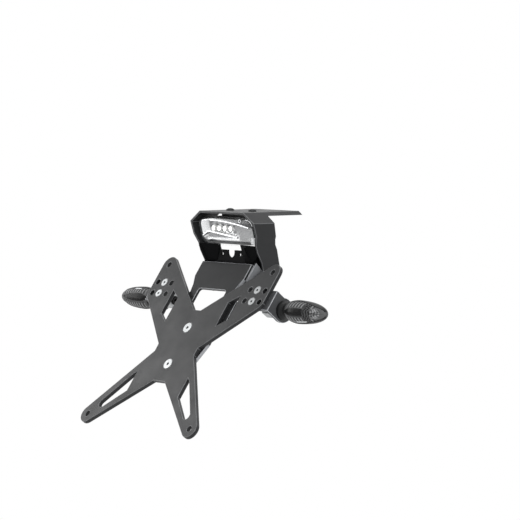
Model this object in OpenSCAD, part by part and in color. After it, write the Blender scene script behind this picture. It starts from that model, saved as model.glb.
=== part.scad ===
// Tail tidy: number plate carrier, tail lamp and two indicators for a motorbike.
// Origin: centre of the four frame bolts, on the top face of the hood.
// +X is the bike's right, +Y its front and +Z up. All sizes in millimetres.

/* [Number plate carrier] */
// Width between the corner holes
hole_width = 150; // [120:1:180]
// Height between the corner holes, along the plate
hole_height = 160; // [130:1:190]
// Lean of the plate from the vertical, in degrees
plate_tilt = 35.3; // [20:0.1:45]
// Thickness of the carrier sheet
carrier_thickness = 4; // [3:0.5:6]
// Radius of each arm's tip
tip_radius = 8.5; // [7:0.5:12]
// Diameter of the corner holes
corner_hole = 5.5; // [4.5:0.1:6.5]
// Width of the waist between the arms
waist_width = 57.4; // [50:0.2:64]

/* [Tongue bracket] */
// Thickness of the tongue sheet
tongue_thickness = 3; // [2:0.5:4]
// Width of the tongue at its top
tongue_width = 71; // [68:0.5:71.5]
// Top edge of the tongue, along the plate
tongue_top = 89; // [86:0.5:90]
// Width of the window in the tongue
window_width = 40; // [30:1:44]
// Top of the window, along the plate
window_top = 60.5; // [54:0.5:62]

/* [Hood and lamp bracket] */
// Thickness of the hood and lamp bracket sheets
sheet = 2; // [1.5:0.1:2]
// Outer half width of the hood beside the lamp
hood_half = 46; // [44:0.5:50]
// Outer half width of the lamp bracket's cheeks
cheek_half = 33.6; // [33.2:0.1:34]
// Height of the hood's top face above the plate's centre
hood_top = 116.3; // [114:0.1:120]
// Length of the hood's roof
roof_length = 65; // [62:1:80]
// Spacing of the two lamp bracket holes
tab_hole_spacing = 25.4; // [20:0.2:28]

/* [Frame bolts] */
// Spacing of the frame holes across the bike
frame_spacing_x = 40; // [30:1:50]
// Spacing of the frame holes along the bike
frame_spacing_y = 20; // [18:1:24]
// Diameter of the frame holes
frame_hole = 6.5; // [5.5:0.1:8.5]

/* [Tail lamp] */
// Width of the lamp
lamp_width = 77; // [72:0.5:78]
// Wall thickness of the lamp's lens and housing
lamp_wall = 1.8; // [1.2:0.1:2.4]

/* [Indicators] */
// Outer half width at the folds of the indicator brackets
fold_half = 89; // [88:0.5:96]
// Indicator length from the bracket to its tip
indicator_length = 58; // [54:0.5:70]
// Largest radius of the indicator
indicator_radius = 10.5; // [9:0.5:12]

/* [Hidden] */
$fn = 48;
mount_y = 94;
hw = hole_width / 2;
hh = hole_height / 2;
edge = hw + tip_radius;
waist = waist_width / 2;
tongue_back = -(carrier_thickness + tongue_thickness);
flange_back = tongue_back - sheet;
bracket_sheet = 3;
bracket_back = -(carrier_thickness + bracket_sheet);
// Indicator axis: height along the plate and depth behind the carrier's face
axis_v = 53.8;
axis_n = -19.5;
tab_radius = 11;
stud_radius = 4;
// Bore of the stud, for the indicator's two wires
wire_radius = 1.8;
bolt5 = 2.5;
bolt4 = 2;
clear5 = 2.75;
clear4 = 2.25;
head5 = 4.9;
head4 = 3.7;
grid_u = fold_half - 21.5;
grid_step = 10;
grid_top = 61;
grid_low = 49.3;
carrier_bolts = [17, -21];
// Side bolts: height along the plate and depth behind the carrier's face
ear_rear = [78, -14.5];
ear_front = [80, -24];
// The ears fold forward from the tongue's back and lie on the cheeks
ear_in = cheek_half;
ear_out = ear_in + tongue_thickness;
// Half width of the tongue's lower part, behind the carrier's arms
web_half = 42;
// Spacers hold the hood's lower flaps off the ears
spacer_length = 3.4;
flap = ear_out + spacer_length + sheet;
lamp_half = lamp_width / 2;
lamp_bottom = 86.9;
lamp_top = 111.2;
lamp_front = 76;
lamp_split = 57;
boss_x = 16;
boss_y = 71;
// Half width of the pad between the lamp and the hood's roof
pad_half = 23.2;
roof_under = hood_top - sheet;

// ---- frames and helpers ----

// Moves parts given about the plate's centre to the origin at the frame bolts
module placed() {
  translate([0, -mount_y, -hood_top]) children();
}

// The plate's own frame: x across, y up the plate, z out of its face
module on_plate() {
  placed() rotate([90 - plate_tilt, 0, 0]) children();
}

// A shape drawn in the side view (Y, Z), spread across the bike
module across(x0, x1) {
  translate([x0, 0, 0])
    rotate([90, 0, 90])
      linear_extrude(height = x1 - x0) children();
}

// A shape drawn in the end view (X, Z), spread along the bike
module along(y0, y1) {
  translate([0, y1, 0])
    rotate([90, 0, 0])
      linear_extrude(height = y1 - y0) children();
}

// The same flat shape on both sides of the centre line
module both() {
  children();
  mirror([1, 0]) children();
}

// A point of the plate's frame (height, depth) in the bike's side view (Y, Z)
function side_view(v, n) = [
  v * sin(plate_tilt) - n * cos(plate_tilt),
  v * cos(plate_tilt) + n * sin(plate_tilt)
];
// The far side of an outline: mirrored, in reverse order
function mirrored(pts) = [for (i = [len(pts) - 1:-1:0]) [-pts[i][0], pts[i][1]]];
// Bearing of a line from a point that touches a tip; side is +1 left, -1 right
function bearing_to(from, tip, side) =
  atan2(tip[1] - from[1], tip[0] - from[0]) + side * asin(tip_radius / norm(tip - from));
// Points of a tip's arc between two angles
function arc(tip, a0, a1) =
  [for (i = [0:16]) let (a = a0 + (a1 - a0) * i / 16) tip + tip_radius * [cos(a), sin(a)]];

// ---- number plate carrier ----

upper_tip = [hw, hh];
lower_tip = [hw, -hh];
upper_crotch = [5, 35.7];
lower_crotch = [8.3, -38.8];
waist_low = [waist - 0.2, -9.5];

// One side of the outline, from the upper crotch round both tips to the lower
carrier_side = concat(
  [upper_crotch],
  arc(upper_tip, bearing_to(upper_crotch, upper_tip, 1) + 90, 0),
  [[edge, 48.6], [edge - 3, 43.4], [waist, -2], waist_low],
  arc(lower_tip, bearing_to(waist_low, lower_tip, 1) + 90,
    bearing_to(lower_crotch, lower_tip, -1) - 90),
  [lower_crotch]
);

module carrier_cuts() {
  translate(upper_tip) circle(d = corner_hole);
  translate(lower_tip) circle(d = corner_hole);
  polygon([[48.9, 53.8], [48.9, 29.6], [37, 21.5], [36.7, 46.2]]);
  polygon([[37.3, -32], [41, -35], [65.1, -65.5], [59.5, -71.1], [37.3, -52]]);
  translate([62, -68]) circle(r = 4);
  for (u = [grid_u - grid_step, grid_u + grid_step]) {
    translate([u, grid_top]) circle(r = clear5);
    translate([u, grid_low]) circle(r = clear5);
  }
}

// A countersunk hole down from z = 0
module countersink(r, head, depth) {
  translate([0, 0, -depth - 1]) cylinder(h = depth + 2, r = r);
  translate([0, 0, -head + r]) cylinder(h = head - r, r1 = r, r2 = head);
  cylinder(h = 1, r = head);
}

module number_plate_carrier() {
  color("#26282a")
  on_plate() difference() {
    translate([0, 0, -carrier_thickness])
      linear_extrude(height = carrier_thickness)
        difference() {
          polygon(concat(carrier_side, mirrored(carrier_side)));
          both() carrier_cuts();
        }
    for (v = carrier_bolts)
      translate([0, v, 0]) countersink(clear5, head5 + 0.1, carrier_thickness);
    for (u = [-grid_u, grid_u], v = [grid_top, grid_low])
      translate([u, v, 0]) countersink(clear4, head4 + 0.1, carrier_thickness);
  }
}

// ---- tongue bracket ----

module tongue_web() {
  difference() {
    both() polygon([
      [-1, tongue_top], [tongue_width / 2, tongue_top], [tongue_width / 2, 73],
      [31.5, 64], [30, 56], [web_half, 50], [web_half, 27], [34.5, 11], [34.5, 5], [22, -34],
      [-1, -34]
    ]);
    translate([-window_width / 2 + 3, 30]) square([window_width - 6, window_top - 30]);
    translate([-window_width / 2, 30]) square([window_width, window_top - 33]);
    both() translate([window_width / 2 - 3, window_top - 3]) circle(r = 3);
    for (v = carrier_bolts) translate([0, v]) circle(r = clear5);
  }
}

// One ear in the side view of the plate: (height along the plate, depth)
module ear() {
  difference() {
    polygon([
      [92.4, tongue_back], [90.2, -17.5], [88, -30], [73, -30], [72, -17],
      [73, tongue_back]
    ]);
    translate(ear_rear) circle(r = clear5);
    translate(ear_front) circle(r = clear5);
  }
}

// Turns a (height, depth) drawing into the plate's frame, spread across
module beside(x0, x1) {
  translate([x0, 0, 0])
    rotate([90, 0, 90])
      linear_extrude(height = x1 - x0) children();
}

module tongue_bracket() {
  color("#242628")
  on_plate() {
    translate([0, 0, tongue_back]) linear_extrude(height = tongue_thickness) tongue_web();
    for (side = [0, 1]) mirror([side, 0, 0]) {
      beside(ear_in, ear_out) ear();
      translate([ear_in, 74, tongue_back - 1]) cube([1.5, 14, 2]);
    }
  }
}

// ---- lamp bracket ----

// Cheek in the bike's side view (Y, Z) about the plate's centre
module cheek() {
  polygon([
    [48.4, 85], side_view(90.4, -carrier_thickness - 0.7), side_view(90.4, tongue_back - 0.4),
    side_view(86, tongue_back), side_view(62, tongue_back),
    [54, 45], [73, 45], [80, 60], [72, 85]
  ]);
}

module side_holes() {
  for (p = [ear_rear, ear_front]) translate(p) circle(r = clear5);
}

module bracket_flange() {
  both() polygon([[-1, 92.4], [20.5, 92.4], [cheek_half, 91.8], [cheek_half, 62], [-1, 62]]);
}

module lamp_tab() {
  difference() {
    both() {
      polygon([[-1, 69.4], [20.5, 69.4], [18.5, 79.5], [16.5, 81.4], [-1, 81.4]]);
    }
    translate([0, 79.6]) circle(r = 5);
    translate([-5, 79.6]) square([10, 3]);
    both() translate([tab_hole_spacing / 2, 77.6]) circle(r = 1.75);
  }
}

// Wing from the tab out and back to a cheek's rear edge, in the bike's frame
wing_corners = [
  [15.2, 57.4, 86.6], [17, 59.2, 81.2], [20.3, 59.2, 70.2], [cheek_half, 56.4, 71.4],
  [cheek_half, 48.8, 86.4], [cheek_half + 5.8, 53.4, 86.4], [cheek_half + 5.8, 57.4, 79]
];

module wing() {
  hull() {
    for (p = wing_corners)
      translate(p) rotate([-90, 0, 0]) cylinder(h = sheet, r = 0.05, $fn = 4);
  }
}

module lamp_bracket() {
  color("#1e2022")
  union() {
    on_plate() translate([0, 0, flange_back]) linear_extrude(height = sheet) bracket_flange();
    placed() along(59.2, 59.2 + sheet) lamp_tab();
    placed() wing();
    placed() mirror([1, 0, 0]) wing();
    difference() {
      placed() {
        across(cheek_half - sheet, cheek_half) cheek();
        mirror([1, 0, 0]) across(cheek_half - sheet, cheek_half) cheek();
      }
      on_plate() beside(-cheek_half - 5, cheek_half + 5) side_holes();
    }
  }
}

// ---- lamp hood ----

// One side of the hood's folded sheet in the end view (X, Z), out and back
hood_side = [
  [31.5, hood_top], [hood_half, 106.8], [hood_half, 94.8], [flap, 87], [flap, 44],
  [flap - sheet, 44], [flap - sheet, 87.5], [hood_half - sheet, 95.3],
  [hood_half - sheet, 105.8], [30.9, roof_under]
];

module hood_outline() {
  polygon([
    [47.5, hood_top + 1], [48.2, 106.5], [51.9, 94.5], [54, 87.5],
    [56.4, 80], [61.2, 71], [62.7, 64.3], [53.7, 59.4], side_view(70, flange_back - 2),
    [70, 46], [82.6, 64], [78.6, 83], [74.5, 92], [72.5, 106], [72.5, roof_under - 1.5],
    [47.5 + roof_length, roof_under - 1.5], [47.5 + roof_length, hood_top + 1]
  ]);
}

module lamp_hood() {
  color("#1e2022")
  difference() {
    placed() intersection() {
      along(40, 130) polygon(concat(hood_side, mirrored(hood_side)));
      across(-60, 60) hood_outline();
    }
    on_plate() beside(-60, 60) side_holes();
    for (x = [-1, 1], y = [-1, 1])
      translate([x * frame_spacing_x / 2, y * frame_spacing_y / 2, -sheet - 1])
        cylinder(h = sheet + 2, d = frame_hole);
    for (x = [-boss_x, boss_x])
      placed() translate([x, boss_y, roof_under - 1]) cylinder(h = sheet + 2, r = clear4);
  }
}

// ---- indicator brackets ----

module flange_shape() {
  difference() {
    translate([grid_u - 5, 44]) square([fold_half - grid_u + 5, 20.2]);
    translate([grid_u, grid_top]) circle(r = clear4);
    translate([grid_u, grid_low]) circle(r = clear4);
    translate([grid_u + grid_step, grid_top]) circle(r = 1.6);
    translate([grid_u + grid_step, grid_low]) circle(r = 1.6);
  }
}

module tab_shape() {
  difference() {
    union() {
      polygon([
        [44, -carrier_thickness], [64.2, -carrier_thickness],
        [axis_v + tab_radius * 0.86, axis_n], [axis_v - tab_radius, axis_n]
      ]);
      translate([axis_v, axis_n]) circle(r = tab_radius);
    }
    translate([axis_v, axis_n]) circle(r = stud_radius + 0.25);
  }
}

module indicator_bracket() {
  color("#26282a")
  on_plate() {
    translate([0, 0, bracket_back]) linear_extrude(height = bracket_sheet) flange_shape();
    beside(fold_half - bracket_sheet, fold_half) tab_shape();
  }
}

module right_indicator_bracket() indicator_bracket();
module left_indicator_bracket() mirror([1, 0, 0]) indicator_bracket();

// ---- bolts and nuts ----

// Button head bolt along +Z: head under z = 0 upward, shank below
module button_bolt(r, head, length) {
  color("#c9ccce")
  difference() {
    union() {
      intersection() {
        cylinder(h = r * 1.1, r = head);
        translate([0, 0, r * 1.1 - head * 1.6]) sphere(r = head * 1.6);
      }
      translate([0, 0, -length]) cylinder(h = length + 0.1, r = r);
    }
    translate([0, 0, r * 0.35]) cylinder(h = r * 2, r = r * 0.62, $fn = 6);
  }
}

// Countersunk bolt along +Z, its flat head flush with z = 0
module flush_bolt(r, head, length) {
  color("#c9ccce")
  difference() {
    union() {
      translate([0, 0, -head + r]) cylinder(h = head - r, r1 = r, r2 = head);
      cylinder(h = 0.3, r = head);
      translate([0, 0, -length]) cylinder(h = length, r = r);
    }
    translate([0, 0, -1.6]) cylinder(h = 3, r = r * 0.62, $fn = 6);
  }
}

module hex_nut(r, across_flats, height) {
  color("#b9bcbe")
  difference() {
    cylinder(h = height, d = across_flats / cos(30), $fn = 6);
    translate([0, 0, -1]) cylinder(h = height + 2, r = r);
  }
}

module carrier_bolt(v) {
  on_plate() translate([0, v, 0]) flush_bolt(bolt5, head5, 16);
}
module carrier_nut(v) {
  on_plate() translate([0, v, tongue_back - 4]) hex_nut(bolt5, 8, 4);
}
module arm_bolt(side, v) {
  on_plate() translate([side * grid_u, v, 0]) flush_bolt(bolt4, head4, 12);
}
module arm_nut(side, v) {
  on_plate() translate([side * grid_u, v, bracket_back - 3.2]) hex_nut(bolt4, 7, 3.2);
}
module side_bolt(side, at) {
  on_plate() translate([side * flap, at[0], at[1]])
    rotate([0, side * 90, 0]) button_bolt(bolt5, 4.6, 16);
}
module side_spacer(side, at) {
  color("#b9bcbe")
  on_plate() translate([side * ear_out, at[0], at[1]])
    rotate([0, side * 90, 0]) difference() {
      cylinder(h = spacer_length, r = 4.5);
      translate([0, 0, -1]) cylinder(h = spacer_length + 2, r = bolt5);
    }
}
module side_nut(side, at) {
  on_plate() translate([side * (cheek_half - sheet), at[0], at[1]])
    rotate([0, side * -90, 0]) hex_nut(bolt5, 8, 4);
}

module carrier_bolt_upper() carrier_bolt(carrier_bolts[0]);
module carrier_bolt_lower() carrier_bolt(carrier_bolts[1]);
module carrier_nut_upper() carrier_nut(carrier_bolts[0]);
module carrier_nut_lower() carrier_nut(carrier_bolts[1]);
module left_arm_bolt_upper() arm_bolt(-1, grid_top);
module left_arm_bolt_lower() arm_bolt(-1, grid_low);
module right_arm_bolt_upper() arm_bolt(1, grid_top);
module right_arm_bolt_lower() arm_bolt(1, grid_low);
module left_arm_nut_upper() arm_nut(-1, grid_top);
module left_arm_nut_lower() arm_nut(-1, grid_low);
module right_arm_nut_upper() arm_nut(1, grid_top);
module right_arm_nut_lower() arm_nut(1, grid_low);
module left_side_bolt_rear() side_bolt(-1, ear_rear);
module left_side_bolt_front() side_bolt(-1, ear_front);
module right_side_bolt_rear() side_bolt(1, ear_rear);
module right_side_bolt_front() side_bolt(1, ear_front);
module left_side_spacer_rear() side_spacer(-1, ear_rear);
module left_side_spacer_front() side_spacer(-1, ear_front);
module right_side_spacer_rear() side_spacer(1, ear_rear);
module right_side_spacer_front() side_spacer(1, ear_front);
module left_side_nut_rear() side_nut(-1, ear_rear);
module left_side_nut_front() side_nut(-1, ear_front);
module right_side_nut_rear() side_nut(1, ear_rear);
module right_side_nut_front() side_nut(1, ear_front);

// ---- tail lamp ----

// Lamp outline in the end view (X, Z), drawn in by a margin
module lamp_face(m) {
  w = lamp_half - m;
  b = lamp_bottom + m;
  t = lamp_top - m;
  polygon([
    [-w + 8.5, b], [w - 8.5, b], [w - 3, b + 2], [w, b + 5], [w, t - 7], [w - 1, t - 4.4],
    [w - 4, t - 1.8], [w - 9.5, t], [-w + 9.5, t], [-w + 4, t - 1.8], [-w + 1, t - 4.4],
    [-w, t - 7], [-w, b + 5], [-w + 3, b + 2]
  ]);
}

// Lamp outline in the side view (Y, Z): the lens leans rearward to its top
module lamp_side(m) {
  polygon([
    [55 + m, lamp_bottom - 1], [54.2 + m, 89], [50.4 + m, 104.5],
    [51.6 + m, lamp_top - 1], [53.5 + m, lamp_top + 1],
    [lamp_front - m, lamp_top + 1], [lamp_front - m, lamp_bottom - 1]
  ]);
}

module lamp_solid(m) {
  intersection() {
    along(45, 80) lamp_face(m);
    across(-50, 50) lamp_side(m);
  }
}

module lamp_slice(y0, y1) {
  translate([-60, y0, 80]) cube([120, y1 - y0, 40]);
}

module lamp_lens() {
  color("#e8ecef")
  placed() difference() {
    lamp_solid(0);
    lamp_solid(lamp_wall);
    lamp_slice(lamp_split, 90);
  }
}

module lamp_housing() {
  color("#303336")
  placed() difference() {
    union() {
      intersection() {
        difference() {
          lamp_solid(0);
          lamp_solid(lamp_wall);
        }
        lamp_slice(lamp_split, 90);
      }
      translate([-pad_half, boss_y - 4, lamp_top - lamp_wall])
        cube([2 * pad_half, 8, roof_under - lamp_top + lamp_wall]);
    }
    for (x = [-boss_x, boss_x])
      translate([x, boss_y, lamp_top - lamp_wall - 1]) cylinder(h = 20, r = bolt4);
  }
}

// Reflector plate with a cup for each light-emitting diode
module lamp_reflector() {
  color("#d8dadc")
  placed() difference() {
    intersection() {
      along(45, 80) lamp_face(lamp_wall + 0.2);
      translate([-60, 56.5, 80]) cube([120, 2, 40]);
    }
    for (i = [0:3]) led_at(i) cylinder(h = 20, r = 3.4, center = true);
  }
}

module led_at(i) {
  translate([-21.5 + 8.2 * i, 57, 100.6]) rotate([90, 0, 0]) children();
}

module lamp_circuit_board() {
  color("#4a6b4c")
  placed() intersection() {
    along(45, 80) lamp_face(lamp_wall + 0.2);
    translate([-60, 58.5, 80]) cube([120, 1.6, 40]);
  }
}

module lamp_led(i) {
  color("#f2f0e0")
  placed() led_at(i) translate([0, 0, -1.5]) cylinder(h = 2.6, r = 2.4);
}
module lamp_led_1() lamp_led(0);
module lamp_led_2() lamp_led(1);
module lamp_led_3() lamp_led(2);
module lamp_led_4() lamp_led(3);

module lamp_screw(x) {
  placed() translate([x, boss_y, hood_top]) button_bolt(bolt4, 3.7, 8);
}
module lamp_screw_left() lamp_screw(-boss_x);
module lamp_screw_right() lamp_screw(boss_x);

// ---- indicators ----

// Indicator frame: +Z runs outward from the bracket's outer face
module on_axis() {
  on_plate() translate([fold_half, axis_v, axis_n]) rotate([0, 90, 0]) children();
}

lens_start = 11;

// Stalk, its flared cup and the hollow stud through the bracket
module indicator_stalk() {
  color("#1c1d1e")
  on_axis() difference() {
    rotate_extrude() polygon([
      [wire_radius, -23], [stud_radius, -23], [stud_radius, 0], [8.6, 0], [8.4, 3],
      [7.2, 5.4], [7.4, 8.6], [lens_r(0), lens_start], [wire_radius, lens_start]
    ]);
    translate([0, 0, lens_start - 2]) cylinder(h = 3, r = 4);
  }
}

// Lens radius from its mouth (0) to its tip (1): a short swell, then a blunt point
function lens_r(s) = indicator_radius * sqrt(max(0, 1 - pow(s, 3)))
  * (1 - 0.18 * pow(max(0, 1 - s * 3.4), 2));

module lens_shape(m) {
  l = indicator_length - lens_start;
  polygon(concat(
    [[0, lens_start]],
    [for (i = [0:14]) let (s = i / 15)
      [max(0.01, lens_r(s) - m), lens_start + (l - m) * s]],
    [[0, lens_start + l - m]]
  ));
}

module indicator_lens() {
  color("#7d8082")
  on_axis() difference() {
    rotate_extrude() lens_shape(0);
    rotate_extrude() lens_shape(1.5);
  }
}

// Reflector disc in the mouth of the lens
module indicator_reflector() {
  color("#d8dadc")
  on_axis() translate([0, 0, lens_start])
    difference() {
      cylinder(h = 2, r = lens_r(0) - 1.6);
      translate([0, 0, -1]) cylinder(h = 4, r = 3.1);
    }
}

module indicator_bulb() {
  color("#e0b060")
  on_axis() union() {
    translate([0, 0, lens_start - 2]) cylinder(h = 12, r = 3);
    translate([0, 0, lens_start + 13]) sphere(r = 5);
  }
}

module indicator_washer() {
  color("#b9bcbe")
  on_axis() translate([0, 0, -bracket_sheet - 1.6])
    difference() {
      cylinder(h = 1.6, r = 7.5);
      translate([0, 0, -1]) cylinder(h = 4, r = stud_radius);
    }
}

module indicator_nut() {
  on_axis() translate([0, 0, -bracket_sheet - 1.6 - 17]) hex_nut(stud_radius, 13, 17);
}

module right_indicator_stalk() indicator_stalk();
module right_indicator_lens() indicator_lens();
module right_indicator_reflector() indicator_reflector();
module right_indicator_bulb() indicator_bulb();
module right_indicator_washer() indicator_washer();
module right_indicator_nut() indicator_nut();
module left_indicator_stalk() mirror([1, 0, 0]) indicator_stalk();
module left_indicator_lens() mirror([1, 0, 0]) indicator_lens();
module left_indicator_reflector() mirror([1, 0, 0]) indicator_reflector();
module left_indicator_bulb() mirror([1, 0, 0]) indicator_bulb();
module left_indicator_washer() mirror([1, 0, 0]) indicator_washer();
module left_indicator_nut() mirror([1, 0, 0]) indicator_nut();

number_plate_carrier();
tongue_bracket();
lamp_bracket();
lamp_hood();
left_indicator_bracket();
right_indicator_bracket();
carrier_bolt_upper();
carrier_bolt_lower();
carrier_nut_upper();
carrier_nut_lower();
left_arm_bolt_upper();
left_arm_bolt_lower();
right_arm_bolt_upper();
right_arm_bolt_lower();
left_arm_nut_upper();
left_arm_nut_lower();
right_arm_nut_upper();
right_arm_nut_lower();
left_side_bolt_rear();
left_side_bolt_front();
right_side_bolt_rear();
right_side_bolt_front();
left_side_spacer_rear();
left_side_spacer_front();
right_side_spacer_rear();
right_side_spacer_front();
left_side_nut_rear();
left_side_nut_front();
right_side_nut_rear();
right_side_nut_front();
lamp_housing();
lamp_lens();
lamp_reflector();
lamp_circuit_board();
lamp_led_1();
lamp_led_2();
lamp_led_3();
lamp_led_4();
lamp_screw_left();
lamp_screw_right();
left_indicator_stalk();
left_indicator_lens();
left_indicator_reflector();
left_indicator_bulb();
left_indicator_washer();
left_indicator_nut();
right_indicator_stalk();
right_indicator_lens();
right_indicator_reflector();
right_indicator_bulb();
right_indicator_washer();
right_indicator_nut();
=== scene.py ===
"""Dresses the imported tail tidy: sheet metal, fasteners, tail lamp and indicators."""
import math

import bmesh
import bpy
import mathutils
import numpy as np
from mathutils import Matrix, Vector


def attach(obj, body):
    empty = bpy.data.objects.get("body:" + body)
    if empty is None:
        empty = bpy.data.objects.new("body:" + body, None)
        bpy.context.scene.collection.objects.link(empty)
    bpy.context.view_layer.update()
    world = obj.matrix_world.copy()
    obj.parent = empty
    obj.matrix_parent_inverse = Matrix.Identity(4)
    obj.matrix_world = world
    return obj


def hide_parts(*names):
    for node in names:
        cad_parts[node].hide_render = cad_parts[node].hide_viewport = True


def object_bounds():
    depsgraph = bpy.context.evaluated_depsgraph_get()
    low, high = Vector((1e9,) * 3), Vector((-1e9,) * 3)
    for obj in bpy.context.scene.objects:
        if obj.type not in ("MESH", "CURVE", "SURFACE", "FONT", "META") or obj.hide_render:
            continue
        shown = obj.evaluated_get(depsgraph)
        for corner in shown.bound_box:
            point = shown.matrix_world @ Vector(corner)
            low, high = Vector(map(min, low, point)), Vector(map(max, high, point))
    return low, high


bl_info = {
    "name": "Tail Tidy",
    "version": (1, 0, 0),
    "blender": (4, 5, 0),
    "location": "View3D > Sidebar > Tail Tidy",
    "description": "Dresses the tail tidy's frame with its finishes and moulded parts",
    "category": "Object",
}

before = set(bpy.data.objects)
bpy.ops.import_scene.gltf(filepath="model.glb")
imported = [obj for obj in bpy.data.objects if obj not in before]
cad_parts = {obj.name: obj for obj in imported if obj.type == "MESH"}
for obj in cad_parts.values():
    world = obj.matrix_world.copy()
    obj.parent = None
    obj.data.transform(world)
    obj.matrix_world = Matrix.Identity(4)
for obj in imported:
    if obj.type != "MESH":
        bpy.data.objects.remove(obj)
CAD_LOW, CAD_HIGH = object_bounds()

# Lengths and places are in millimetres, unless a comment says metres; meshes are in metres
MM = 0.001
# The plate's centre in the row frame, and its lean from the vertical
PLATE_CENTRE = np.array([0.0, -94.0, -116.3])
PLATE_TILT = math.radians(35.3)
# The camera's bearing and rise in degrees, its place from the plate's centre (back along
# the view, to the right and up), and its focal length in pixels of the square frame
CAMERA_BEARING, CAMERA_RISE = 50.99, 3.28
CAMERA_BACK, CAMERA_RIGHT, CAMERA_UP = 2420.0, 72.08, 74.40
FOCAL_PIXELS, FRAME_PIXELS, SENSOR_WIDTH = 2726.0, 520.0, 36.0
# In metres: where the softboxes aim, the floor's drop below the part and its half side
SOFTBOX_AIM = (0.0, -0.06, -0.1)
FLOOR_DROP, FLOOR_HALF = 0.35, 12.0


# ---- properties ----

class TailTidySizes(bpy.types.PropertyGroup):
    """Sizes of the pieces that are made here, in metres"""
    sheet_edge: bpy.props.FloatProperty(
        name="Sheet edge radius", description="Rounding of the coated sheets' edges",
        default=0.00045, min=0.0001, max=0.001, unit="LENGTH", precision=5)
    bolt_edge: bpy.props.FloatProperty(
        name="Bolt edge radius", description="Rounding of the bolts' and nuts' edges",
        default=0.0002, min=0.00005, max=0.0005, unit="LENGTH", precision=5)
    lens_wall: bpy.props.FloatProperty(
        name="Lamp lens wall", description="Wall of the tail lamp's lens",
        default=0.0014, min=0.0008, max=0.0024, unit="LENGTH", precision=5)


class TailTidyFinishes(bpy.types.PropertyGroup):
    """Colours of the finishes, in linear light"""
    powder_coat: bpy.props.FloatVectorProperty(
        name="Powder coat", description="Satin black of the folded sheets", subtype="COLOR",
        size=3, min=0.0, max=1.0, default=(0.024, 0.0245, 0.0255))
    zinc: bpy.props.FloatVectorProperty(
        name="Zinc", description="Bright plating of the bolts and nuts", subtype="COLOR",
        size=3, min=0.0, max=1.0, default=(0.40, 0.41, 0.415))
    black_plastic: bpy.props.FloatVectorProperty(
        name="Black plastic", description="Stalks and the lamp's housing", subtype="COLOR",
        size=3, min=0.0, max=1.0, default=(0.022, 0.0225, 0.0235))
    smoke: bpy.props.FloatVectorProperty(
        name="Smoked lens", description="Tint of the indicators' lenses", subtype="COLOR",
        size=3, min=0.0, max=1.0, default=(0.05, 0.052, 0.056))
    insert: bpy.props.FloatVectorProperty(
        name="Lamp insert", description="Bright moulding behind the lamp's lens",
        subtype="COLOR", size=3, min=0.0, max=1.0, default=(0.96, 0.965, 0.97))
    amber: bpy.props.FloatVectorProperty(
        name="Bulb", description="Amber glass of the indicators' bulbs", subtype="COLOR",
        size=3, min=0.0, max=1.0, default=(0.30, 0.12, 0.03))


# ---- materials ----

def new_material(name):
    """An empty material with its Principled shader and object coordinates."""
    mat = bpy.data.materials.new(name)
    mat.use_nodes = True
    nodes = mat.node_tree.nodes
    shader = nodes["Principled BSDF"]
    coords = nodes.new("ShaderNodeTexCoord")
    return mat, nodes, mat.node_tree.links, shader, coords


def noise(nodes, links, coords, scale, detail, roughness=0.5):
    """Noise read at object coordinates; scale is in cycles per metre."""
    tex = nodes.new("ShaderNodeTexNoise")
    tex.inputs["Scale"].default_value = scale
    tex.inputs["Detail"].default_value = detail
    tex.inputs["Roughness"].default_value = roughness
    links.new(coords.outputs["Object"], tex.inputs["Vector"])
    return tex


def ramp(nodes, links, source, low, high, start=0.0, end=1.0):
    """A colour ramp between two greys or colours."""
    node = nodes.new("ShaderNodeValToRGB")
    node.color_ramp.elements[0].position = start
    node.color_ramp.elements[1].position = end
    node.color_ramp.elements[0].color = (*low, 1.0)
    node.color_ramp.elements[1].color = (*high, 1.0)
    links.new(source, node.inputs["Fac"])
    return node


def bump(nodes, links, source, shader, distance, strength):
    """Fine relief on the surface, distance in metres."""
    node = nodes.new("ShaderNodeBump")
    node.inputs["Strength"].default_value = strength
    node.inputs["Distance"].default_value = distance
    links.new(source, node.inputs["Height"])
    links.new(node.outputs["Normal"], shader.inputs["Normal"])


def grey(value):
    """A neutral colour."""
    return (value, value, value)


def powder_coat(name, colour, roughness=0.42, gleam=0.32):
    """Satin powder coat: fine orange peel, faint dust and uneven gloss."""
    mat, nodes, links, shader, coords = new_material(name)
    cloud = noise(nodes, links, coords, 28, 4)
    tone = ramp(nodes, links, cloud.outputs["Fac"],
                [c * 0.9 for c in colour], [c * 1.12 for c in colour], 0.3, 0.7)
    links.new(tone.outputs["Color"], shader.inputs["Base Color"])
    gloss = ramp(nodes, links, noise(nodes, links, coords, 60, 5).outputs["Fac"],
                 grey(roughness - 0.05), grey(roughness + 0.07), 0.3, 0.7)
    links.new(gloss.outputs["Color"], shader.inputs["Roughness"])
    peel = noise(nodes, links, coords, 1400, 2, 0.4)
    bump(nodes, links, peel.outputs["Fac"], shader, 0.00003, 0.35)
    shader.inputs["Specular IOR Level"].default_value = gleam
    return mat


def plated_metal(name, colour, roughness):
    """Bright metal, such as zinc or chrome plating, with a fine grain and a little
    cloudiness."""
    mat, nodes, links, shader, coords = new_material(name)
    cloud = noise(nodes, links, coords, 300, 3)
    tone = ramp(nodes, links, cloud.outputs["Fac"],
                [c * 0.86 for c in colour], [min(1, c * 1.06) for c in colour], 0.35, 0.7)
    links.new(tone.outputs["Color"], shader.inputs["Base Color"])
    shader.inputs["Metallic"].default_value = 1.0
    gloss = ramp(nodes, links, noise(nodes, links, coords, 900, 4).outputs["Fac"],
                 grey(roughness - 0.06), grey(roughness + 0.12), 0.3, 0.75)
    links.new(gloss.outputs["Color"], shader.inputs["Roughness"])
    grain = noise(nodes, links, coords, 5000, 2)
    bump(nodes, links, grain.outputs["Fac"], shader, 0.00001, 0.3)
    return mat


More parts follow.
